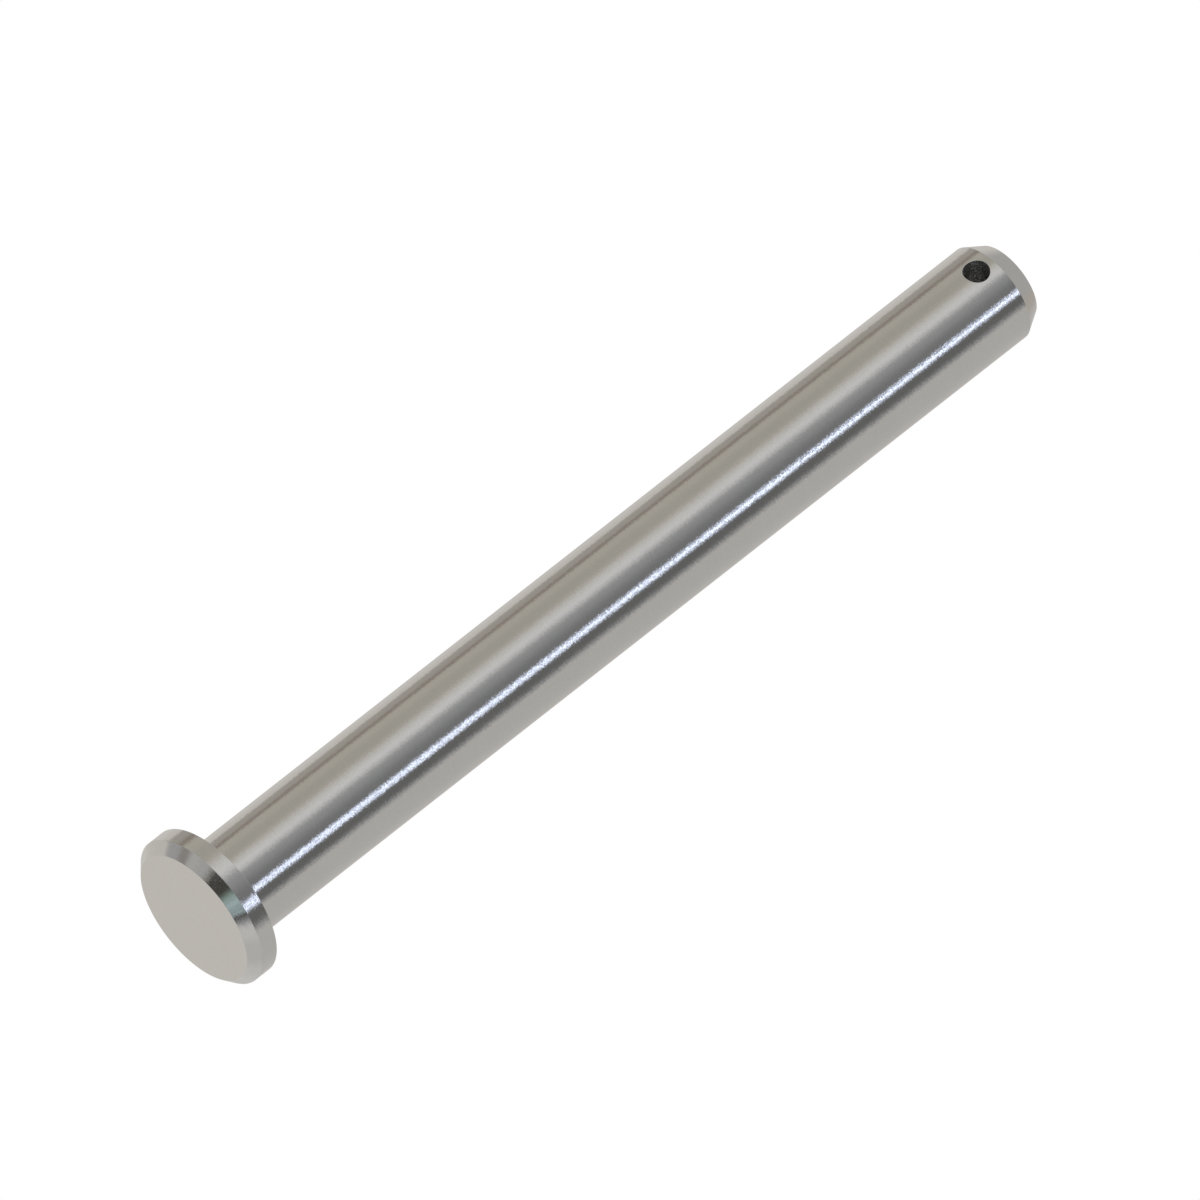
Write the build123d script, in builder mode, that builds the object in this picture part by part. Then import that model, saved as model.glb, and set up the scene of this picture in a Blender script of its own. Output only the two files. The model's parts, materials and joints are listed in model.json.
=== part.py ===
from build123d import *
import os
from math import radians, tan

# Headed clevis pin with a split-pin hole (form B), 16 mm nominal, turned from one steel bar.
# It stands on its head: the origin is the centre of the head's outer face, +Z runs up the axis
# to the tip, and the split-pin hole crosses the shank along Y. All sizes are in millimetres.

# Shank
shank_diameter = 16.0
grip_length = 160.0  # bearing face of the head to the end of the shank
taper_length = 3.0  # lead-in taper at the tip, measured along the axis
taper_angle = 30.0  # between the taper and the axis, in degrees

# Head
head_diameter = 25.0
head_height = 4.5
head_bevel = 1.6  # 45 degree bevel round the outer face
neck_radius = 0.6  # fillet between the shank and the bearing face

# Split-pin hole
hole_diameter = 4.0
hole_to_end = 6.0  # axis of the hole to the end of the shank

# Worked out from the sizes above
shank_radius = shank_diameter / 2
head_radius = head_diameter / 2
overall_length = head_height + grip_length
taper_start = overall_length - taper_length
tip_radius = shank_radius - taper_length * tan(radians(taper_angle))
hole_height = overall_length - hole_to_end
neck_corner = (shank_radius, head_height)

with BuildPart() as clevis_pin:
    # Half of the turned section, revolved about the axis.
    with BuildSketch(Plane.XZ) as turned_section:
        with BuildLine():
            Polyline(
                (0, 0),
                (head_radius - head_bevel, 0),
                (head_radius, head_bevel),
                (head_radius, head_height),
                neck_corner,
                (shank_radius, taper_start),
                (tip_radius, overall_length),
                (0, overall_length),
                close=True,
            )
        make_face()
        neck = turned_section.vertices().sort_by_distance(neck_corner)[0]
        fillet(neck, radius=neck_radius)
    revolve(axis=Axis.Z)

    # The split-pin hole is drilled right through, square to the axis.
    with Locations(Plane(origin=(0, 0, hole_height), z_dir=(0, -1, 0))):
        Hole(radius=hole_diameter / 2)

clevis_pin.part.label = "clevis_pin"

os.makedirs("parts", exist_ok=True)
export_step(clevis_pin.part, "parts/clevis_pin.step")
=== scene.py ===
"""Surface, studio and camera of a headed clevis pin that stands on its head.

The pin is turned from one steel bar, so it is one closed surface: half of its outline is swept
round the axis, and the split-pin hole opens out of that surface through two rounded mouths.
Lengths are in metres, +Z runs up the axis, and azimuths are turned from -Y towards +X.
"""

import json
import logging
import math
from collections.abc import Callable, Mapping, Sequence
from dataclasses import dataclass, field
from enum import Enum

import bpy
import numpy as np
from mathutils import Matrix, Vector


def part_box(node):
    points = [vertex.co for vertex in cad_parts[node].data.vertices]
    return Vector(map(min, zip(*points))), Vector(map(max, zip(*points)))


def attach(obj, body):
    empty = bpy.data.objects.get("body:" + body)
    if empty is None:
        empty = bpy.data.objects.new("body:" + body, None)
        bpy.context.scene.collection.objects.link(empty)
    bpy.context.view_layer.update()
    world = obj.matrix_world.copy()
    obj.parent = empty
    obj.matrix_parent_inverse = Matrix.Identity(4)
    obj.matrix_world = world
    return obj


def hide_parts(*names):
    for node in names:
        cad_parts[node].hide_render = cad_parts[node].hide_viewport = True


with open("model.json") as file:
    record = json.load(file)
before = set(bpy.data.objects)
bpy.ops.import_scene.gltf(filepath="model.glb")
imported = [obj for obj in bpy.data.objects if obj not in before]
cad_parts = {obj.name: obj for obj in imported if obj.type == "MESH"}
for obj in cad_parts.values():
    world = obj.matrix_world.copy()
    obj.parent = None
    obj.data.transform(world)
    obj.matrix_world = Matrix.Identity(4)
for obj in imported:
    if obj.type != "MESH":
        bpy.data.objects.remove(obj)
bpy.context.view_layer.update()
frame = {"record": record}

LOG = logging.getLogger("clevis_pin")
MM = 0.001
WELD = 1e-8  # points nearer than this are one point

Colour = tuple[float, float, float]
Span = tuple[float, float]
Socket = bpy.types.NodeSocket
Charting = Callable[[np.ndarray, np.ndarray], np.ndarray]  # travel and angle to a place


def join(*parts: np.ndarray | float) -> np.ndarray:
    """Joins coordinates into points, each coordinate repeated to the size of the largest."""
    return np.stack(np.broadcast_arrays(*parts), axis=-1)


# ---- Sizes ----


class Zone(Enum):
    """Machined zones of the pin. The value is the zone's material number."""

    GROUND = 0  # the shank, its neck and the rim of the head
    TURNED = 1  # the bevel and the lead-in taper
    FACED = 2  # the flat ends and the bearing face
    DRILLED = 3  # the wall of the split-pin hole


@dataclass(frozen=True)
class PinSizes:
    """Sizes of the pin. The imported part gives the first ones, and the last ones finish it.

    Args:
        head_radius: Radius of the head.
        head_height: Height of the head, from its face to its bearing face.
        shank_radius: Radius of the shank.
        neck_radius: Radius of the fillet between the bearing face and the shank.
        taper_start: Height where the lead-in taper begins.
        length: Height of the whole pin.
        hole_radius: Radius of the split-pin hole.
        hole_height: Height of the hole's axis.
        head_bevel: Height and width of the bevel round the head's face.
        taper_angle: Angle between the taper and the axis.
        edge_break: Radius of the turned edges.
        mouth_break: Radius of the edge round each mouth of the hole.
    """

    head_radius: float
    head_height: float
    shank_radius: float
    neck_radius: float
    taper_start: float
    length: float
    hole_radius: float
    hole_height: float
    head_bevel: float = 1.6 * MM
    taper_angle: float = math.radians(30)
    edge_break: float = 0.08 * MM
    mouth_break: float = 0.05 * MM

    @classmethod
    def from_frame(cls) -> "PinSizes":
        """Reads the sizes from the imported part's box and mounts.

        Returns:
            The sizes of the pin.
        """
        low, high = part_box("clevis_pin")
        mounts = {mount["name"]: mount for mount in frame["record"]["mounts"]}
        shank, hole = mounts["shank"], mounts["split_pin_hole"]
        wall_middle = shank["pos_m"][2]
        wall_half = shank["dims"]["length_mm"] * MM / 2
        head_height = mounts["bearing_face"]["pos_m"][2]
        return cls(
            head_radius=max(high[0] - low[0], high[1] - low[1]) / 2,
            head_height=head_height,
            shank_radius=shank["dims"]["r_mm"] * MM,
            neck_radius=wall_middle - wall_half - head_height,
            taper_start=wall_middle + wall_half,
            length=high[2],
            hole_radius=hole["dims"]["r_mm"] * MM,
            hole_height=hole["pos_m"][2],
        )

    @property
    def tip_radius(self) -> float:
        """Radius of the flat end of the shank."""
        return self.shank_radius - (self.length - self.taper_start) * math.tan(self.taper_angle)


# ---- The turned outline ----


@dataclass
class Outline:
    """Half section of the pin, as rows of points from the head's face to the tip.

    Args:
        radius: Radius of each row.
        height: Height of each row.
        travel: Length of outline behind each row.
        zones: Material number between each row and the next, one less than the rows.
    """

    radius: np.ndarray
    height: np.ndarray
    travel: np.ndarray
    zones: np.ndarray

    def row_at(self, height: float) -> int:
        """Gives the first row that lies at a height or above it."""
        return int(np.argmax(self.height > height - WELD))

    def revolve(self, rows: slice, angles: np.ndarray) -> np.ndarray:
        """Sweeps rows round the axis: row i and column j give (r_i cos a_j, r_i sin a_j, z_i)."""
        radius = self.radius[rows, None]
        return join(radius * np.cos(angles), radius * np.sin(angles), self.height[rows, None])


@dataclass(frozen=True)
class Leg:
    """One straight stretch of an outline and the corner at its end.

    Args:
        end: Radius and height of the sharp corner that it runs to.
        zone: The stretch's zone. The rounding of a corner belongs to the stretch after it.
        rows: Rows of cells along it, or none if they follow the cross hole.
        corner: Radius of the corner's rounding.
    """

    end: Span
    zone: Zone
    rows: int | None
    corner: float = 0.0


@dataclass(frozen=True)
class Corner:
    """A rounded corner between two straight sides.

    With t as the turn between the sides, the arc leaves the first side r tan(t/2) before the
    corner and meets the second one as far behind it.

    Args:
        before: A point on the side that comes in.
        tip: The sharp corner.
        after: A point on the side that goes out.
        radius: Radius of the arc.
    """

    before: np.ndarray
    tip: np.ndarray
    after: np.ndarray
    radius: float

    @property
    def sides(self) -> tuple[np.ndarray, np.ndarray]:
        """Unit directions of the side that comes in and the side that goes out."""
        inward, outward = self.tip - self.before, self.after - self.tip
        return inward / np.linalg.norm(inward), outward / np.linalg.norm(outward)

    @property
    def turn(self) -> float:
        """Angle from the first side to the second."""
        inward, outward = self.sides
        return math.acos(float(np.clip(inward @ outward, -1, 1)))

    @property
    def ends(self) -> tuple[np.ndarray, np.ndarray]:
        """Where the arc starts and where it ends.

        Returns:
            A place on the side that comes in and one on the side that goes out.
        """
        inward, outward = self.sides
        cut = self.radius * math.tan(self.turn / 2)
        return self.tip - inward * cut, self.tip + outward * cut

    def arc(self, steps: int) -> np.ndarray:
        """Works out the arc.

        At angle a it has gone r sin(a) along the first side and r (1 - cos(a)) square to it, on
        the side of the second.

        Args:
            steps: Stretches that it is split into.

        Returns:
            Steps + 1 points.
        """
        inward, outward = self.sides
        square = outward - (inward @ outward) * inward
        square /= np.linalg.norm(square)
        angle = np.linspace(0, self.turn, steps + 1)[:, None]
        return self.ends[0] + self.radius * (np.sin(angle) * inward + (1 - np.cos(angle)) * square)


@dataclass
class OutlinePen:
    """Draws an outline through straight runs and rounded corners.

    Args:
        round_steps: Rows of cells round a corner.
        support: Distance from the end of a run to a row that keeps the run flat.
        clearance: How far other rows keep from the end of a run, in supports.
        points: Radius and height of the rows so far.
        zones: Material numbers between them.
    """

    round_steps: int = 6
    support: float = 0.05 * MM
    clearance: float = 1.5
    points: list[np.ndarray] = field(default_factory=list)
    zones: list[int] = field(default_factory=list)

    def _add(self, points: np.ndarray, zone: Zone) -> None:
        """Adds points that follow on from the last one.

        Args:
            points: Radius and height of each, where the first may repeat the last one drawn.
            zone: Their zone.
        """
        if self.points and np.allclose(self.points[-1], points[0], atol=WELD):
            points = points[1:]
        new_rows = len(points) if self.points else len(points) - 1
        self.points.extend(points)
        self.zones.extend([zone.value] * new_rows)

    def run(self, start: np.ndarray, end: np.ndarray, stops: np.ndarray, zone: Zone) -> None:
        """Draws a straight run with a support row near each end.

        Each stop s in 0..1 gives the point start + s (end - start).

        Args:
            start: Radius and height where the run begins.
            end: Radius and height where it ends.
            stops: Shares of the run that get a row.
            zone: The run's zone.
        """
        near = self.support / np.linalg.norm(end - start)
        inner = stops[(stops > near * self.clearance) & (stops < 1 - near * self.clearance)]
        shares = np.concatenate([[0.0, near], inner, [1 - near, 1.0]])
        self._add(start + shares[:, None] * (end - start), zone)

    def corner(self, corner: Corner, zone: Zone) -> None:
        """Draws the arc of a corner."""
        self._add(corner.arc(self.round_steps), zone)

    def finish(self) -> Outline:
        """Measures the travel along what is drawn.

        Returns:
            The outline drawn so far.
        """
        points = np.array(self.points)
        steps = np.linalg.norm(np.diff(points, axis=0), axis=1)
        travel = np.concatenate([[0.0], np.cumsum(steps)])
        return Outline(points[:, 0], points[:, 1], travel, np.array(self.zones))


# ---- Surfaces ----


@dataclass
class Patch:
    """A grid of surface points.

    Args:
        points: Rows x columns x 3 places.
        chart: Rows x columns x 2 places on the sheet that the surface is unrolled onto.
        zones: The material number of each row of faces, one less than the rows.
    """

    points: np.ndarray
    chart: np.ndarray
    zones: np.ndarray


@dataclass(frozen=True)
class Sheet:
    """The square sheet that the pin's surface is unrolled onto.

    The wall lies in two strips side by side, cut at the middle of the pin and as wide as the
    shank's girth. Beyond their ends lie the head's face and the tip, as discs, and then the bore.

    Args:
        outline: The turned outline.
        sizes: The pin's sizes.
        gap: Free space between one part and the next.
    """

    outline: Outline
    sizes: PinSizes
    gap: float = 1.0 * MM

    @property
    def face_end(self) -> int:
        """Row a quarter of the way up the bevel, where the face's disc gives way to the wall."""
        return self.outline.row_at(self.sizes.head_bevel / 4)

    @property
    def middle(self) -> int:
        """Row where the wall is cut into two strips."""
        return self.outline.row_at((self.sizes.head_height + self.sizes.taper_start) / 2)

    @property
    def tip_start(self) -> int:
        """Row where the wall gives way to the tip's disc."""
        return self.outline.row_at(self.sizes.length - self.sizes.edge_break)

    @property
    def face_disc(self) -> float:
        """Radius of the face's disc."""
        return self.outline.travel[self.face_end]

    @property
    def tip_disc(self) -> float:
        """Radius of the tip's disc."""
        return self.outline.travel[-1] - self.outline.travel[self.tip_start]

    @property
    def girth(self) -> float:
        """Width of a strip."""
        return 2 * math.pi * self.sizes.shank_radius

    @property
    def strip(self) -> float:
        """Length of the longer strip."""
        low, cut, high = self.outline.travel[[self.face_end, self.middle, self.tip_start]]
        return max(cut - low, high - cut)

    @property
    def disc_row(self) -> float:
        """Distance from the lower edge of the sheet to the centres of the discs."""
        return self.strip + 2 * self.gap + self.face_disc

    @property
    def side(self) -> float:
        """Side of the sheet."""
        return max(self.disc_row + self.face_disc + self.gap, 2 * self.girth + 3 * self.gap)

    def _wall(self, left: float, base: int, travel: np.ndarray, turn: np.ndarray) -> np.ndarray:
        """Charts points of the strip that starts at left and at the travel of its base row."""
        across = left + (turn + math.pi) * self.sizes.shank_radius
        return join(across, self.gap + travel - self.outline.travel[base])

    def lower_wall(self, travel: np.ndarray, turn: np.ndarray) -> np.ndarray:
        """Charts points of the lower strip."""
        return self._wall(self.gap, self.face_end, travel, turn)

    def upper_wall(self, travel: np.ndarray, turn: np.ndarray) -> np.ndarray:
        """Charts points of the upper strip."""
        return self._wall(2 * self.gap + self.girth, self.middle, travel, turn)

    def _disc(self, centre: float, out: np.ndarray, turn: np.ndarray) -> np.ndarray:
        """Charts points of a disc by their angles and their distances from its centre."""
        return join(centre + out * np.cos(turn), self.disc_row + out * np.sin(turn))

    def face(self, travel: np.ndarray, turn: np.ndarray) -> np.ndarray:
        """Charts points of the face, as far out as they have travelled."""
        return self._disc(self.gap + self.face_disc, travel, turn)

    def tip(self, travel: np.ndarray, turn: np.ndarray) -> np.ndarray:
        """Charts points of the tip, as far out as they have still to travel."""
        centre = 3 * self.gap + 2 * self.face_disc + self.tip_disc
        return self._disc(centre, self.outline.travel[-1] - travel, turn)

    def bore(self, depth: np.ndarray, turn: np.ndarray) -> np.ndarray:
        """Charts the bore by the place of its points along Y and the angles of its columns."""
        left = 5 * self.gap + 2 * self.face_disc + 2 * self.tip_disc
        return join(left + (turn - turn[0]) * self.sizes.hole_radius, self.disc_row + depth)

    def sweep(self, first: int, last: int, turns: np.ndarray, charting: Charting) -> Patch:
        """Sweeps a stretch of the outline round the axis and charts it.

        Args:
            first: Its first row.
            last: Its last row.
            turns: The angle of each column.
            charting: What charts its points.

        Returns:
            The patch.
        """
        rows = slice(first, last + 1)
        chart = charting(self.outline.travel[rows, None], turns)
        return Patch(self.outline.revolve(rows, turns), chart, self.outline.zones[first:last])


def put(name: str, data: bpy.types.ID) -> bpy.types.Object:
    """Puts an object into the scene.

    Args:
        name: Its name.
        data: Its mesh, lamp or camera.

    Returns:
        The object.
    """
    placed = bpy.data.objects.new(name, data)
    bpy.context.scene.collection.objects.link(placed)
    return placed


def stitch(name: str, patches: Sequence[Patch], side: float) -> bpy.types.Object:
    """Joins patches into one closed mesh.

    Every grid cell is a quad. Points that fall on the same place become one vertex, and a quad
    whose two corners meet at a pole becomes a triangle.

    Args:
        name: Name of the piece.
        patches: The grids, each turned so that rows x columns gives outward faces.
        side: Side of the square sheet that the patches are charted on.

    Returns:
        The piece, with its chart in its UV map.
    """
    quads, zones, base = [], [], 0
    for patch in patches:
        rows, columns = patch.points.shape[:2]
        index = base + np.arange(rows * columns).reshape(rows, columns)
        cells = [index[:-1, :-1], index[:-1, 1:], index[1:, 1:], index[1:, :-1]]
        quads.append(np.stack(cells, axis=-1).reshape(-1, 4))
        zones.append(np.repeat(patch.zones, columns - 1))
        base += rows * columns
    quads, zones = np.concatenate(quads), np.concatenate(zones)
    points = np.concatenate([patch.points.reshape(-1, 3) for patch in patches])
    chart = np.concatenate([patch.chart.reshape(-1, 2) for patch in patches]) / side

    cells = np.round(points / WELD).astype(np.int64)
    _, first, welded = np.unique(cells, axis=0, return_index=True, return_inverse=True)
    corners = welded.reshape(-1)[quads]
    keep = np.ones_like(corners, bool)
    keep[:, 1] = corners[:, 0] != corners[:, 1]
    keep[:, 3] = corners[:, 2] != corners[:, 3]
    sides = keep.sum(axis=1)

    mesh = bpy.data.meshes.new(name)
    mesh.vertices.add(len(first))
    mesh.vertices.foreach_set("co", points[first].ravel())
    mesh.loops.add(int(sides.sum()))
    mesh.loops.foreach_set("vertex_index", corners[keep])
    mesh.polygons.add(len(corners))
    mesh.polygons.foreach_set("loop_start", np.concatenate([[0], np.cumsum(sides)[:-1]]))
    mesh.polygons.foreach_set("material_index", zones)
    mesh.update(calc_edges=True)
    mesh.uv_layers.new(name="OFBake").data.foreach_set("uv", chart[quads[keep]].ravel())
    mesh.shade_smooth()
    if mesh.validate():
        raise ValueError(f"{name} has faces that had to be mended")
    return put(name, mesh)


def ring_mesh(name: str, points: np.ndarray) -> bpy.types.Object:
    """Joins rings of points, each closed on itself, with quads from one ring to the next.

    Args:
        name: Name of the object.
        points: Rings x sides x 3 places.

    Returns:
        The object.
    """
    index = np.arange(points[..., 0].size).reshape(points.shape[:2])
    onward = np.roll(index, -1, axis=1)
    quads = np.stack([index[:-1], index[1:], onward[1:], onward[:-1]], axis=-1).reshape(-1, 4)
    mesh = bpy.data.meshes.new(name)
    mesh.from_pydata(points.reshape(-1, 3), [], quads)
    return put(name, mesh)


# ---- Finishes ----


class Lay(Enum):
    """Which way a tool went round the work, named for what it went round."""

    SHANK = "shank"  # marks follow the girth, and change along Z
    FACE = "face"  # marks are rings about the axis, and change with the radius
    BORE = "bore"  # marks follow the wall of the cross hole, and change along Y


class ShaderGraph:
    """Adds nodes to one material and joins them up."""

    def __init__(self, name: str) -> None:
        """Starts a material with one principled shader.

        Args:
            name: Name of the material.
        """
        self.material = bpy.data.materials.new(name)
        self.material.use_nodes = True
        self.tree = self.material.node_tree
        self.shader = self.tree.nodes["Principled BSDF"]

    def node(self, kind: str, fed: Mapping[int | str, object], **settings: object) -> bpy.types.Node:
        """Adds a node.

        Args:
            kind: Blender's name for the kind of node.
            fed: What goes into its inputs, by their numbers or names.
            **settings: Its other settings.

        Returns:
            The node.
        """
        node = self.tree.nodes.new(kind)
        for key, value in settings.items():
            setattr(node, key, value)
        for key, value in fed.items():
            self.feed(node.inputs[key], value)
        return node

    def feed(self, socket: Socket, value: object) -> None:
        """Links a socket to another one, or gives it a plain value.

        Args:
            socket: The socket of the node that takes the value.
            value: A socket, a number, or a row of numbers.
        """
        if isinstance(value, bpy.types.NodeSocket):
            self.tree.links.new(value, socket)
        else:
            socket.default_value = value

    def place(self) -> Socket:
        """Gives the shaded place in the piece's own frame, in metres."""
        return self.node("ShaderNodeTexCoord", {}).outputs["Object"]

    def split(self, vector: Socket) -> Sequence[Socket]:
        """Splits a vector into its three parts."""
        return self.node("ShaderNodeSeparateXYZ", {0: vector}).outputs

    def math(self, operation: str, *values: object) -> Socket:
        """Adds a math node over sockets or numbers."""
        return self.node("ShaderNodeMath", dict(enumerate(values)), operation=operation).outputs[0]

    def vector(self, operation: str, *values: object) -> Socket:
        """Adds a vector math node over sockets or rows of three numbers."""
        return self.node("ShaderNodeVectorMath", dict(enumerate(values)), operation=operation).outputs[0]

    def noise(self, vector: Socket, detail: float = 2.0, roughness: float = 0.5) -> Socket:
        """Adds a 3-D noise with one cell for each unit of its vector."""
        fed = {"Vector": vector, "Scale": 1.0, "Detail": detail, "Roughness": roughness}
        return self.node("ShaderNodeTexNoise", fed).outputs["Fac"]

    def scaled(self, vector: Socket, factor: float) -> Socket:
        """Multiplies a vector by a number."""
        return self.node("ShaderNodeVectorMath", {0: vector, "Scale": factor}, operation="SCALE").outputs[0]

    def spread(self, value: Socket, low: float, high: float) -> Socket:
        """Maps the middle half of a noise onto low to high, and holds the rest at the nearer one."""
        fed = {"Value": value, "From Min": 0.25, "From Max": 0.75, "To Min": low, "To Max": high}
        return self.node("ShaderNodeMapRange", fed).outputs[0]

    def mix(self, amount: Socket, first: Colour, second: Colour) -> Socket:
        """Blends two colours."""
        fed = {"Factor": amount, "A": (*first, 1.0), "B": (*second, 1.0)}
        return self.node("ShaderNodeMix", fed, data_type="RGBA").outputs["Result"]

    def bump(self, height: Socket, depth: float) -> Socket:
        """Raises the surface by depth metres where height is 1."""
        return self.node("ShaderNodeBump", {"Distance": depth, "Height": height}).outputs[0]

    def facets(self, place: Socket, size: float) -> Socket:
        """Splits space into cells of about a size in metres, with three dice of 0 to 1 in each."""
        fed = {"Vector": self.scaled(place, 1 / size), "Scale": 1.0}
        return self.node("ShaderNodeTexVoronoi", fed).outputs["Color"]

    def lean(self, normal: Socket, dice: Socket, reach: float) -> Socket:
        """Tips a normal by dice of 0 to 1.

        The result is the unit vector along normal + reach (dice - 1/2).

        Args:
            normal: The normal before.
            dice: Three dice, one for each axis.
            reach: Width of the span that each part of the push is drawn from.

        Returns:
            The tipped normal.
        """
        push = self.vector("MULTIPLY_ADD", dice, (reach,) * 3, (-reach / 2,) * 3)
        return self.vector("NORMALIZE", self.vector("ADD", normal, push))

    def studio_material(self, surface: Socket) -> bpy.types.Material:
        """Finishes a material of the studio, which isn't sampled as a lamp.

        Args:
            surface: What takes the place of the principled shader.

        Returns:
            The material.
        """
        self.feed(self.tree.nodes["Material Output"].inputs["Surface"], surface)
        self.tree.nodes.remove(self.shader)
        self.material.cycles.emission_sampling = "NONE"
        return self.material


@dataclass(frozen=True)
class SteelFinish:
    """Bare steel as a tool left it.

    Args:
        name: Name of the material.
        lay: Which way the tool went round.
        tones: Darkest and lightest colour of the metal. In the bore they also hold painted shade.
        gloss: Smoothest and roughest value of its roughness.
        facet: Size of the small facets that the grit left.
        reach: How far the facets lean.
        pitch: Distance from one tool mark to the next.
        mark_depth: Height of the tool marks.
        wander: How far a mark runs before it changes.
        cloud: Size of the soft clouds in its tone.
        mark_share: Share of the marks in the wear. The clouds have the rest.
        die_share: Share of a facet's own die in its tone. The wear has the rest.
    """

    name: str
    lay: Lay
    tones: tuple[Colour, Colour]
    gloss: Span
    facet: float
    reach: float
    pitch: float
    mark_depth: float
    wander: float = 6 * MM
    cloud: float = 9 * MM
    mark_share: float = 0.5
    die_share: float = 0.5

    def _marks(self, graph: ShaderGraph, place: Socket) -> Socket:
        """Adds the tool marks: noise that is drawn out along the lay and packed across it.

        Args:
            graph: The material's nodes.
            place: The place that is shaded.

        Returns:
            Height of the marks, from 0 to 1.
        """
        x, y, z = graph.split(place)
        if self.lay is Lay.FACE:
            squares = graph.math("ADD", graph.math("MULTIPLY", x, x), graph.math("MULTIPLY", y, y))
            first, second, across = x, y, graph.math("SQRT", squares)
        elif self.lay is Lay.BORE:
            first, second, across = x, z, y
        else:
            first, second, across = x, y, z
        runs = [(first, self.wander), (second, self.wander), (across, self.pitch)]
        fed = {key: graph.math("DIVIDE", *run) for key, run in enumerate(runs)}
        joined = graph.node("ShaderNodeCombineXYZ", fed)
        return graph.noise(joined.outputs[0], detail=3.0, roughness=0.6)

    def build(self) -> bpy.types.Material:
        """Makes the material.

        Returns:
            A metal whose tone, gloss and relief all follow its facets and tool marks.
        """
        graph = ShaderGraph(self.name)
        place = graph.place()
        dice = graph.facets(place, self.facet)
        _, tone_die, gloss_die = graph.split(dice)
        marks = self._marks(graph, place)
        cloud = graph.noise(graph.scaled(place, 1 / self.cloud))
        clouds = graph.math("MULTIPLY", cloud, 1 - self.mark_share)
        wear = graph.math("MULTIPLY_ADD", marks, self.mark_share, clouds)
        worn = graph.spread(wear, 0, 1 - self.die_share)
        tone = graph.math("MULTIPLY_ADD", tone_die, self.die_share, worn)
        smooth, rough = self.gloss
        fed = {
            "Base Color": graph.mix(tone, *self.tones),
            "Roughness": graph.math("MULTIPLY_ADD", gloss_die, rough - smooth, smooth),
            "Metallic": 1.0,
            "Normal": graph.lean(graph.bump(marks, self.mark_depth), dice, self.reach),
        }
        for name, value in fed.items():
            graph.feed(graph.shader.inputs[name], value)
        return graph.material


BRIGHT = ((0.550, 0.544, 0.533), (0.600, 0.595, 0.585))
# The bore's tones are darker than the bright steel. This is painted shade that darkens the cross hole, and
# their random speckle is the drilled tone.
BORE_TONES_WITH_PAINTED_SHADE = ((0.20, 0.20, 0.19), (0.64, 0.64, 0.62))
FINISHES = {
    Zone.GROUND: SteelFinish(
        "ground_steel", Lay.SHANK, BRIGHT, gloss=(0.02, 0.12),
        facet=0.16 * MM, reach=0.040, pitch=0.35 * MM, mark_depth=0.0004 * MM),
    Zone.TURNED: SteelFinish(
        "turned_steel_edge", Lay.SHANK, BRIGHT, gloss=(0.04, 0.13),
        facet=0.15 * MM, reach=0.018, pitch=0.25 * MM, mark_depth=0.0005 * MM),
    Zone.FACED: SteelFinish(
        "faced_steel", Lay.FACE, BRIGHT, gloss=(0.06, 0.16),
        facet=0.14 * MM, reach=0.03, pitch=0.30 * MM, mark_depth=0.0006 * MM),
    # The drilled wall's darker tones are painted shade in the hole. Its roughness and leaning facets are the
    # drilled finish.
    Zone.DRILLED: SteelFinish(
        "drilled_steel", Lay.BORE, BORE_TONES_WITH_PAINTED_SHADE, gloss=(0.40, 0.65),
        facet=0.18 * MM, reach=0.36, pitch=0.60 * MM, mark_depth=0.0004 * MM),
}


# ---- The pin ----


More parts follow.
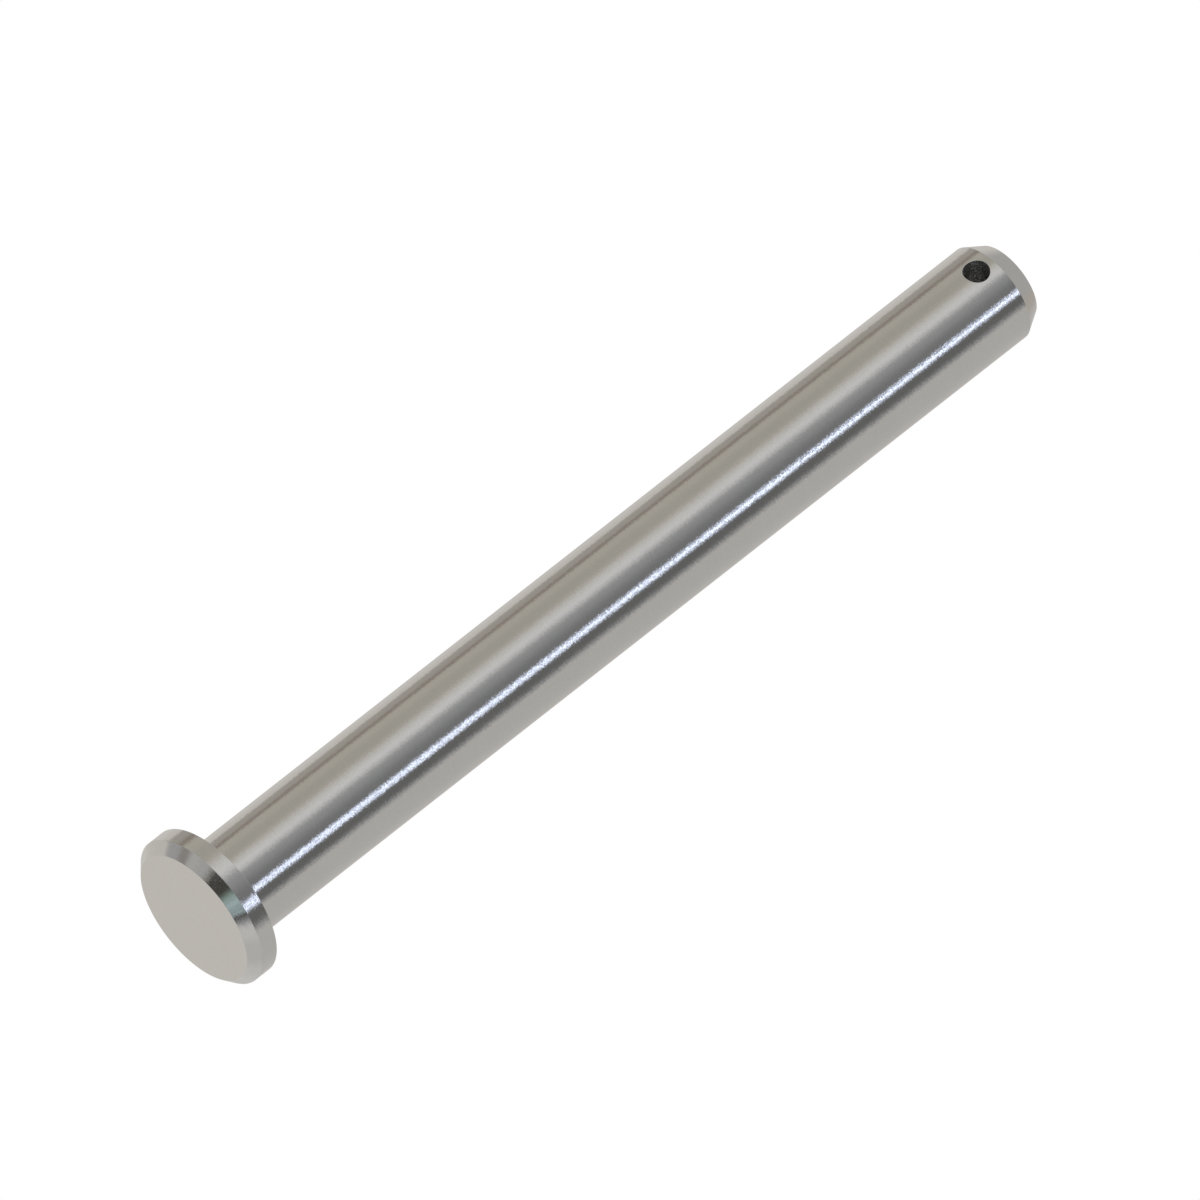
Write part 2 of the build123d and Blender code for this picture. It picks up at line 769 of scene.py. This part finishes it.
@dataclass
class ClevisPin:
    """The pin: its turned outline, its cross hole and the finish of each zone.

    Args:
        sizes: The pin's sizes.
        band_reach: Half the side of the square that surrounds each mouth of the hole.
        mouth_steps: Cells along one side of that square.
        side_steps: Columns between the two mouths, on each side of the pin.
        mouth_rings: Rings from the square to the mouth.
        lip_rings: Rings round the mouth's own rounding.
        bore_rings: Rings from the mouth to the middle of the bore.
        crowding: Power that draws the rings of the square towards the mouth.
        shank_rows: Rows from the neck to the hole.
    """

    sizes: PinSizes
    band_reach: float = 2.75 * MM
    mouth_steps: int = 32
    side_steps: int = 112
    mouth_rings: int = 12
    lip_rings: int = 5
    bore_rings: int = 16
    crowding: float = 1.4
    shank_rows: int = 60

    def band_stops(self) -> np.ndarray:
        """Gives the places along a square's side where lines at equal angles from its middle meet it."""
        return self.band_reach * np.tan(np.linspace(-math.pi / 4, math.pi / 4, self.mouth_steps + 1))

    def band_heights(self) -> np.ndarray:
        """Gives the heights of those places on the pin."""
        return self.sizes.hole_height + self.band_stops()

    def ring_angles(self) -> np.ndarray:
        """Gives the angles of a ring round the hole's axis, from one corner of the square."""
        return np.linspace(-math.pi / 4, 7 * math.pi / 4, 4 * self.mouth_steps + 1)

    def columns(self) -> list[np.ndarray]:
        """Gives the angles of the columns, in five stretches from -180 to 180 degrees.

        Beside a mouth, the columns meet the side of its square: the angle from the hole's axis is
        the arcsine of the place over the shank's radius. Between the mouths they are even.

        Returns:
            The stretches left of, across, between, across and right of the two mouths.
        """
        across = np.arcsin(self.band_stops() / self.sizes.shank_radius)
        front, back = across - math.pi / 2, across + math.pi / 2
        half = self.side_steps // 2 + 1
        return [
            np.linspace(-math.pi, front[0], half),
            front,
            np.linspace(front[-1], back[0], self.side_steps + 1),
            back,
            np.linspace(back[-1], math.pi, half),
        ]

    def outline(self) -> Outline:
        """Draws the turned half section.

        Returns:
            The outline, from the middle of the head's face to the middle of the tip.
        """
        s = self.sizes
        legs = [
            Leg((s.head_radius - s.head_bevel, 0), Zone.FACED, rows=10, corner=s.edge_break),
            Leg((s.head_radius, s.head_bevel), Zone.TURNED, rows=4, corner=s.edge_break),
            Leg((s.head_radius, s.head_height), Zone.GROUND, rows=5, corner=s.edge_break),
            Leg((s.shank_radius, s.head_height), Zone.FACED, rows=6, corner=s.neck_radius),
            Leg((s.shank_radius, s.taper_start), Zone.GROUND, rows=None, corner=s.edge_break),
            Leg((s.tip_radius, s.length), Zone.TURNED, rows=5, corner=s.edge_break),
            Leg((0, s.length), Zone.FACED, rows=8),
        ]
        places = [np.zeros(2), *(np.array(leg.end) for leg in legs)]
        corners = [Corner(*places[k:k + 3], leg.corner) for k, leg in enumerate(legs[:-1])]
        starts = [places[0], *(corner.ends[1] for corner in corners)]
        ends = [*(corner.ends[0] for corner in corners), places[-1]]
        pen = OutlinePen()
        for number, (leg, start, end) in enumerate(zip(legs, starts, ends)):
            if number:
                pen.corner(corners[number - 1], leg.zone)
            if leg.rows is None:
                stops = self.shank_stops(start[1], end[1])
            else:
                stops = np.linspace(0, 1, leg.rows + 1)
            pen.run(start, end, stops, leg.zone)
        return pen.finish()

    def shank_stops(self, low: float, high: float) -> np.ndarray:
        """Gives the shank's rows, as shares of its wall.

        Args:
            low: Height where the wall begins.
            high: Height where it ends.

        Returns:
            Even rows up to the hole, then the rows that meet the sides of its squares.
        """
        band = self.band_heights()
        even = np.linspace(low, band[0], self.shank_rows + 1)
        return (np.concatenate([even[:-1], band]) - low) / (high - low)

    def mouth(self, side: int) -> np.ndarray:
        """Works out one mouth of the cross hole, from its square to the start of the bore.

        A point at angle a and distance d from the hole's axis is x = d cos(a), z = h + d sin(a),
        and y = side sqrt(R^2 - x^2), drawn in by the depth of the mouth's rounding. The distance
        grows from the mouth to the square, whose edge lies at reach / max(|cos(a)|, |sin(a)|).

        Args:
            side: -1 for the mouth that faces -Y, 1 for the one that faces +Y.

        Returns:
            Rings x columns x 3 places, from the square inwards.
        """
        s = self.sizes
        angle = self.ring_angles()
        square = self.band_reach / np.maximum(np.abs(np.cos(angle)), np.abs(np.sin(angle)))
        lip = s.hole_radius + s.mouth_break
        share = np.linspace(1, 0, self.mouth_rings + 1)[:, None] ** self.crowding
        flat = lip + share * (square - lip)
        turn = np.linspace(0, math.pi / 2, self.lip_rings + 1)[1:, None] + 0 * angle
        rounded = lip - s.mouth_break * np.sin(turn)
        reach = np.concatenate([flat, rounded])
        depth = np.concatenate([0 * flat, s.mouth_break * (1 - np.cos(turn))])
        x = reach * np.cos(angle)
        y = side * (np.sqrt(s.shank_radius ** 2 - x ** 2) - depth)
        return join(x, y, s.hole_height + reach * np.sin(angle))

    def bore(self) -> np.ndarray:
        """Works out the wall of the hole between the two mouths.

        A point is (r cos(a), y, h + r sin(a)), with y a share of the depth where the mouth ends.
        One more ring near each mouth keeps its rounding small.

        Returns:
            Rings x columns x 3 places, from -Y to +Y.
        """
        s = self.sizes
        x = s.hole_radius * np.cos(self.ring_angles())
        height = s.hole_height + s.hole_radius * np.sin(self.ring_angles())
        edge = np.sqrt(s.shank_radius ** 2 - x ** 2) - s.mouth_break
        near_lip = 1 - s.edge_break / s.shank_radius
        even = np.linspace(-1, 1, 2 * self.bore_rings + 1)
        shares = np.sort(np.concatenate([even, [-near_lip, near_lip]]))[:, None]
        return join(x, shares * edge, height)

    def patches(self, sheet: Sheet) -> list[Patch]:
        """Works out every patch of the pin.

        Args:
            sheet: The sheet that they are unrolled onto.

        Returns:
            The swept patches, the squares round the two mouths, and the bore.
        """
        outline = sheet.outline
        stretches = self.columns()
        whole = np.concatenate([stretches[0], *(part[1:] for part in stretches[1:])])
        low, high = (outline.row_at(self.band_heights()[k]) for k in (0, -1))
        swept = [
            (0, sheet.face_end, whole, sheet.face),
            (sheet.face_end, sheet.middle, whole, sheet.lower_wall),
            (sheet.middle, low, whole, sheet.upper_wall),
            (high, sheet.tip_start, whole, sheet.upper_wall),
            (sheet.tip_start, len(outline.radius) - 1, whole, sheet.tip),
            *((low, high, stretches[k], sheet.upper_wall) for k in (0, 2, 4)),
        ]
        patches = [sheet.sweep(*stretch) for stretch in swept]

        rise = outline.travel[low] - outline.height[low]
        for side in (-1, 1):
            points = self.mouth(side)[::-side]  # the far mouth's rows run back, so it faces outwards
            turn = np.arctan2(points[..., 1], points[..., 0])
            chart = sheet.upper_wall(points[..., 2] + rise, turn)
            patches.append(Patch(points, chart, np.full(len(points) - 1, Zone.GROUND.value)))

        bore = self.bore()
        chart = sheet.bore(bore[..., 1], self.ring_angles())
        patches.append(Patch(bore, chart, np.full(len(bore) - 1, Zone.DRILLED.value)))
        return patches

    def build(self) -> bpy.types.Object:
        """Makes the pin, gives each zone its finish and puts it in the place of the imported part.

        Returns:
            The finished piece.
        """
        sheet = Sheet(self.outline(), self.sizes)
        pin = stitch("turned_pin", self.patches(sheet), sheet.side)
        for zone in Zone:
            pin.data.materials.append(FINISHES[zone].build())
        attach(pin, "root")
        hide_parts("clevis_pin")
        return pin


# ---- Studio ----


def direction(azimuth: np.ndarray | float, elevation: np.ndarray | float) -> np.ndarray:
    """Gives the unit vector (sin(a) cos(e), -cos(a) cos(e), sin(e)) of angles a and e in degrees."""
    turn, rise = np.radians(azimuth), np.radians(elevation)
    return join(np.sin(turn) * np.cos(rise), -np.cos(turn) * np.cos(rise), np.sin(rise))


def ease(value: np.ndarray, start: float, width: float) -> np.ndarray:
    """Rises smoothly from 0 to 1 over a width centred on start: 3t^2 - 2t^3 of the clipped share."""
    share = np.clip((value - start) / width + 0.5, 0, 1)
    return share * share * (3 - 2 * share)


@dataclass(frozen=True)
class Card:
    """A soft-edged cloth or card hung inside the light tent. Angles are in degrees.

    Args:
        name: What it is.
        glow: Its light, as red, green and blue.
        sides: Azimuths of its left and right edges, turned from the camera's side.
        feather: Widths over which those edges fade.
        ends: Elevations of its lower and upper edges.
        end_feather: Width over which these fade.
        crumple: How unevenly it glows, from 0 to 1.
        gel: Whether it tints what is behind it, and smooths it too, instead of hiding it.
    """

    name: str
    glow: Colour
    sides: Span = (-360.0, 360.0)
    feather: Span = (1.0, 1.0)
    ends: Span = (-120.0, 120.0)
    end_feather: float = 12.0
    crumple: float = 0.0
    gel: bool = False

    def cover(self, azimuth: np.ndarray, elevation: np.ndarray) -> np.ndarray:
        """Works out how much of the tent the card covers.

        Args:
            azimuth: Azimuths from the camera's side, in degrees.
            elevation: Elevations, in degrees.

        Returns:
            The share that it covers in each direction, from 0 to 1.
        """
        left, right = self.sides
        low, high = self.ends
        middle = (left + right) / 2
        turn = (azimuth - middle + 180) % 360 - 180 + middle
        across = ease(turn, left, self.feather[0]) * ease(-turn, -right, self.feather[1])
        up = ease(elevation, low, self.end_feather) * ease(-elevation, -high, self.end_feather)
        return across * up


@dataclass
class LightTent:
    """A big round tent of lit cloth that the steel mirrors.

    Args:
        front: Azimuth of the side that the camera stands on, in degrees.
        cloth: Light of the bare cloth.
        radius: Radius of the tent.
        crease: Size of the cells of a crumpled card.
        columns: Columns of its sphere.
        rows: Rows of its sphere.
        cards: What hangs in it, from the first to the last laid on.
    """

    front: float
    cloth: Colour = (0.775, 0.745, 0.705)
    radius: float = 3.0
    crease: float = 0.13
    columns: int = 720
    rows: int = 120
    cards: tuple[Card, ...] = (
        Card("right cloth", (0.655, 0.640, 0.615), (70, 176), (20, 44), (2, 120), 24),
        Card("low right cloth", (0.775, 0.762, 0.750), (62, 172), (10, 24), (-120, 6), 24),
        Card("hem of the right cloth", (0.695, 0.680, 0.658), (94, 128), (16, 18), (-120, -15), 16),
        Card("left cloth", (0.600, 0.570, 0.505), (-121.5, -40), (10, 30)),
        Card("fold in the left cloth", (0.500, 0.475, 0.430), (-121.5, -100), (9, 12)),
        Card("seam of the left cloth", (0.375, 0.330, 0.290), (-103, -93), (9, 9)),
        Card("foot of the seam", (0.375, 0.345, 0.300), (-103, -92), (9, 14), (-62, -36), 8),
        Card("slack in the left cloth", (0.540, 0.522, 0.470), (-74, -52.5), (18, 14)),
        Card("cool light on the left", (1.01, 1.05, 1.15), (-122, -51), (12, 12), (-120, -22), 12, gel=True),
        Card("back cloth", (0.628, 0.602, 0.584), (147, 200), (18, 28), (12, 54), 16),
        Card("bright sheet behind", (0.810, 0.775, 0.732), (160, 200), (20, 20), (-55, -8), 14),
        Card("far flag on the right", (0.230, 0.230, 0.228), (84, 119), (18, 14), (-20, -9), 8),
        Card("far lamp", (1.350, 1.360, 1.380), (155, 164), (9, 9), (-20, -9), 8),
        Card("far flag on the left", (0.300, 0.290, 0.275), (-64, -34), (18, 18), (-20, -9), 8),
        Card("bright edge of the left cloth", (0.870, 0.870, 0.865), (-38.6, -8), (28, 30)),
        Card("grey flag", (0.440, 0.445, 0.455), (-17.5, 67), (20, 22), (-64, 55)),
        Card("black flag", (0.265, 0.268, 0.273), (2, 62.5), (30, 19), (-64, 55)),
        Card("deep flag", (0.190, 0.190, 0.188), (38, 57), (6, 12), (-64, 55)),
        Card("key strip", (1.66, 1.82, 2.25), (25.6, 35.4), (9, 12), (-50, 50), crumple=1.0),
        Card("ceiling", (0.575, 0.565, 0.553), ends=(57, 120), end_feather=18),
        Card("warm corner", (0.595, 0.555, 0.510), (105, 150), (20, 24), (50, 68), 10),
        # The ground and the darker band of it under the bevel are painted shade. They stand for the floor in
        # the head's own shadow, as the steel would mirror it.
        Card("ground", (0.300, 0.290, 0.270), ends=(-120, -72), end_feather=14),
        Card("dark ground", (0.083, 0.080, 0.074), (-53, 64.5), (27, 13), (-74, -58), 6),
        Card("green board", (0.462, 0.570, 0.592), (6, 52), (30, 6), (-74, -58), 6, crumple=0.35),
        Card("green edge of that board", (0.97, 1.02, 0.92), (-8, 19), (8, 14), (-74, -58), 6, gel=True),
        Card("shade on the right", (0.865, 0.875, 0.890), (61, 71), (9, 9), (-64, -46), 8, gel=True),
    )

    def light(self, azimuth: np.ndarray, elevation: np.ndarray) -> np.ndarray:
        """Works out the light that comes from each direction.

        It starts as the bare cloth, and each card in turn replaces or tints it by the share that
        it covers.

        Args:
            azimuth: Azimuths from the camera's side, in degrees.
            elevation: Elevations, in degrees.

        Returns:
            The red, green and blue light of each direction, and how unevenly it glows.
        """
        light = np.broadcast_to(np.array((*self.cloth, 0.0)), (*azimuth.shape, 4))
        for card in self.cards:
            cover = card.cover(azimuth, elevation)[..., None]
            behind = light if card.gel else 1.0
            light = light * (1 - cover) + behind * np.array((*card.glow, card.crumple)) * cover
        return light

    def build(self) -> bpy.types.Object:
        """Makes the tent: a sphere over azimuth and elevation that glows with its light.

        Returns:
            The tent, which the camera looks through.
        """
        azimuths = np.linspace(0, 360, self.columns, endpoint=False)
        azimuth, elevation = np.meshgrid(azimuths, np.linspace(-90, 90, self.rows + 1))
        tent = ring_mesh("light_tent", self.radius * direction(azimuth + self.front, elevation))
        glow = tent.data.color_attributes.new("glow", "FLOAT_COLOR", "POINT")
        glow.data.foreach_set("color", self.light(azimuth, elevation).ravel())
        tent.data.materials.append(self.material())
        tent.visible_camera = False
        return tent

    def material(self) -> bpy.types.Material:
        """Makes the lit cloth, whose light is read from the tent's own attribute.

        A crumpled card is split into cells, and a cell with die d glows 1 + crumple (2d - 1) times
        as bright as the attribute says.

        Returns:
            The material of the cloth.
        """
        graph = ShaderGraph("lit_cloth")
        glow = graph.node("ShaderNodeAttribute", {}, attribute_name="glow").outputs
        die, _, _ = graph.split(graph.facets(graph.place(), self.crease))
        swing = graph.math("MULTIPLY_ADD", die, 2.0, -1.0)
        strength = graph.math("MULTIPLY_ADD", swing, glow["Alpha"], 1.0)
        lamp = graph.node("ShaderNodeEmission", {"Color": glow["Color"], "Strength": strength})
        return graph.studio_material(lamp.outputs[0])


@dataclass
class Floor:
    """A pale round floor that keeps the pin's shadow and melts into the white around it.

    It is seen from above only, so a camera below it looks straight at the pin's head.

    Args:
        rings: Radii of its rings of points.
        sides: Points on a ring.
        drop: How far it lies below the pin.
        paint: Colour of its paint near the pin.
        fade: Radii where it begins to melt into the white and where it has.
    """

    rings: tuple[float, ...] = (0.0, 0.02, 0.1, 0.5, 1.5, 4.0)
    sides: int = 96
    drop: float = 0.05 * MM
    paint: Colour = (0.86, 0.86, 0.86)
    fade: Span = (0.10, 0.34)

    def build(self) -> bpy.types.Object:
        """Makes the floor: rings of points (r cos(a), r sin(a)) about the pin.

        Returns:
            The floor.
        """
        angle = np.linspace(0, 2 * math.pi, self.sides, endpoint=False)
        reach = np.array(self.rings)[:, None]
        floor = ring_mesh("studio_floor", join(reach * np.cos(angle), reach * np.sin(angle), -self.drop))
        floor.data.materials.append(self.material())
        floor.visible_glossy = floor.visible_diffuse = floor.visible_transmission = False
        return floor

    def material(self) -> bpy.types.Material:
        """Makes the paint: matt near the pin, plain white far from it, and clear from below.

        Returns:
            The material of the floor.
        """
        graph = ShaderGraph("floor_paint")
        reach = graph.node("ShaderNodeVectorMath", {0: graph.place()}, operation="LENGTH").outputs["Value"]
        spans = {"Value": reach, "From Min": self.fade[0], "From Max": self.fade[1]}
        fade = graph.node("ShaderNodeMapRange", spans, interpolation_type="SMOOTHSTEP").outputs[0]
        matt = graph.node("ShaderNodeBsdfDiffuse", {"Color": (*self.paint, 1.0)}).outputs[0]
        white = graph.node("ShaderNodeEmission", {}).outputs[0]
        clear = graph.node("ShaderNodeBsdfTransparent", {}).outputs[0]
        below = graph.node("ShaderNodeNewGeometry", {}).outputs["Backfacing"]
        topside = graph.node("ShaderNodeMixShader", {0: fade, 1: matt, 2: white}).outputs[0]
        whole = graph.node("ShaderNodeMixShader", {0: below, 1: topside, 2: clear}).outputs[0]
        return graph.studio_material(whole)


@dataclass
class Softbox:
    """A square lamp over the pin, for the soft shadow on the floor.

    Args:
        place: Where it hangs.
        side: Side of its cloth.
        power: Its power, in watts.
    """

    place: tuple[float, float, float] = (-0.35, -0.25, 0.80)
    side: float = 0.45
    power: float = 10.0

    def build(self) -> bpy.types.Object:
        """Makes the lamp and points it at the foot of the pin.

        Returns:
            The lamp, which the camera and the steel don't see.
        """
        data = bpy.data.lights.new("softbox", "AREA")
        data.size, data.energy = self.side, self.power
        lamp = put("softbox", data)
        lamp.location = self.place
        lamp.rotation_euler = (-Vector(self.place)).to_track_quat("-Z", "Y").to_euler()
        lamp.visible_glossy = lamp.visible_camera = False
        return lamp


@dataclass
class ViewCamera:
    """A parallel view of the pin from below its head, with the axis rising to the right.

    Args:
        length: Length of the pin.
        azimuth: Side that the camera stands on, in degrees.
        elevation: Its height above the horizon, in degrees.
        slant: Angle of the pin's axis across the picture, in degrees.
        margin: Side of the picture over the length of the pin.
        distance: From the middle of the pin to the camera.
        clip: Nearest and furthest distance that it sees.
    """

    length: float
    azimuth: float = 29.15
    elevation: float = -25.42
    slant: float = 38.07
    margin: float = 1.0503
    distance: float = 0.6
    clip: Span = (0.01, 20.0)

    def build(self) -> bpy.types.Object:
        """Makes the camera.

        It first looks with the pin's axis upright in the picture, and is then rolled about its
        line of sight by 90 degrees less the slant.

        Returns:
            The scene's camera.
        """
        back = Vector(direction(self.azimuth, self.elevation))
        upright = (-back).to_track_quat("-Z", "Y").to_matrix()
        rolled = upright @ Matrix.Rotation(math.radians(90 - self.slant), 3, "Z")
        data = bpy.data.cameras.new("camera")
        data.type = "ORTHO"
        data.ortho_scale = self.length * self.margin
        data.clip_start, data.clip_end = self.clip
        camera = put("camera", data)
        place = Vector((0, 0, self.length / 2)) + back * self.distance
        camera.matrix_world = Matrix.Translation(place) @ rolled.to_4x4()
        bpy.context.scene.camera = camera
        return camera


def make_world() -> None:
    """Puts plain white around everything."""
    world = bpy.data.worlds.new("white_surround")
    world.use_nodes = True
    surround = world.node_tree.nodes["Background"]
    surround.inputs["Color"].default_value = (1.0, 1.0, 1.0, 1.0)
    surround.inputs["Strength"].default_value = 1.0
    bpy.context.scene.world = world


def report(piece: bpy.types.Object) -> None:
    """Logs a piece's name and its faces."""
    LOG.info("%s: %d faces", piece.name, len(piece.data.polygons) if piece.type == "MESH" else 0)


def main() -> None:
    """Builds the pin, the studio and the camera in order."""
    logging.basicConfig(level=logging.INFO, format="%(name)s: %(message)s")
    bpy.context.scene.view_settings.view_transform = "Standard"
    sizes = PinSizes.from_frame()
    LOG.info("sizes: %s", sizes)
    camera = ViewCamera(sizes.length)
    for part in (ClevisPin(sizes), LightTent(front=camera.azimuth), Floor(), Softbox(), camera):
        report(part.build())
    make_world()


if __name__ == "__main__":
    main()
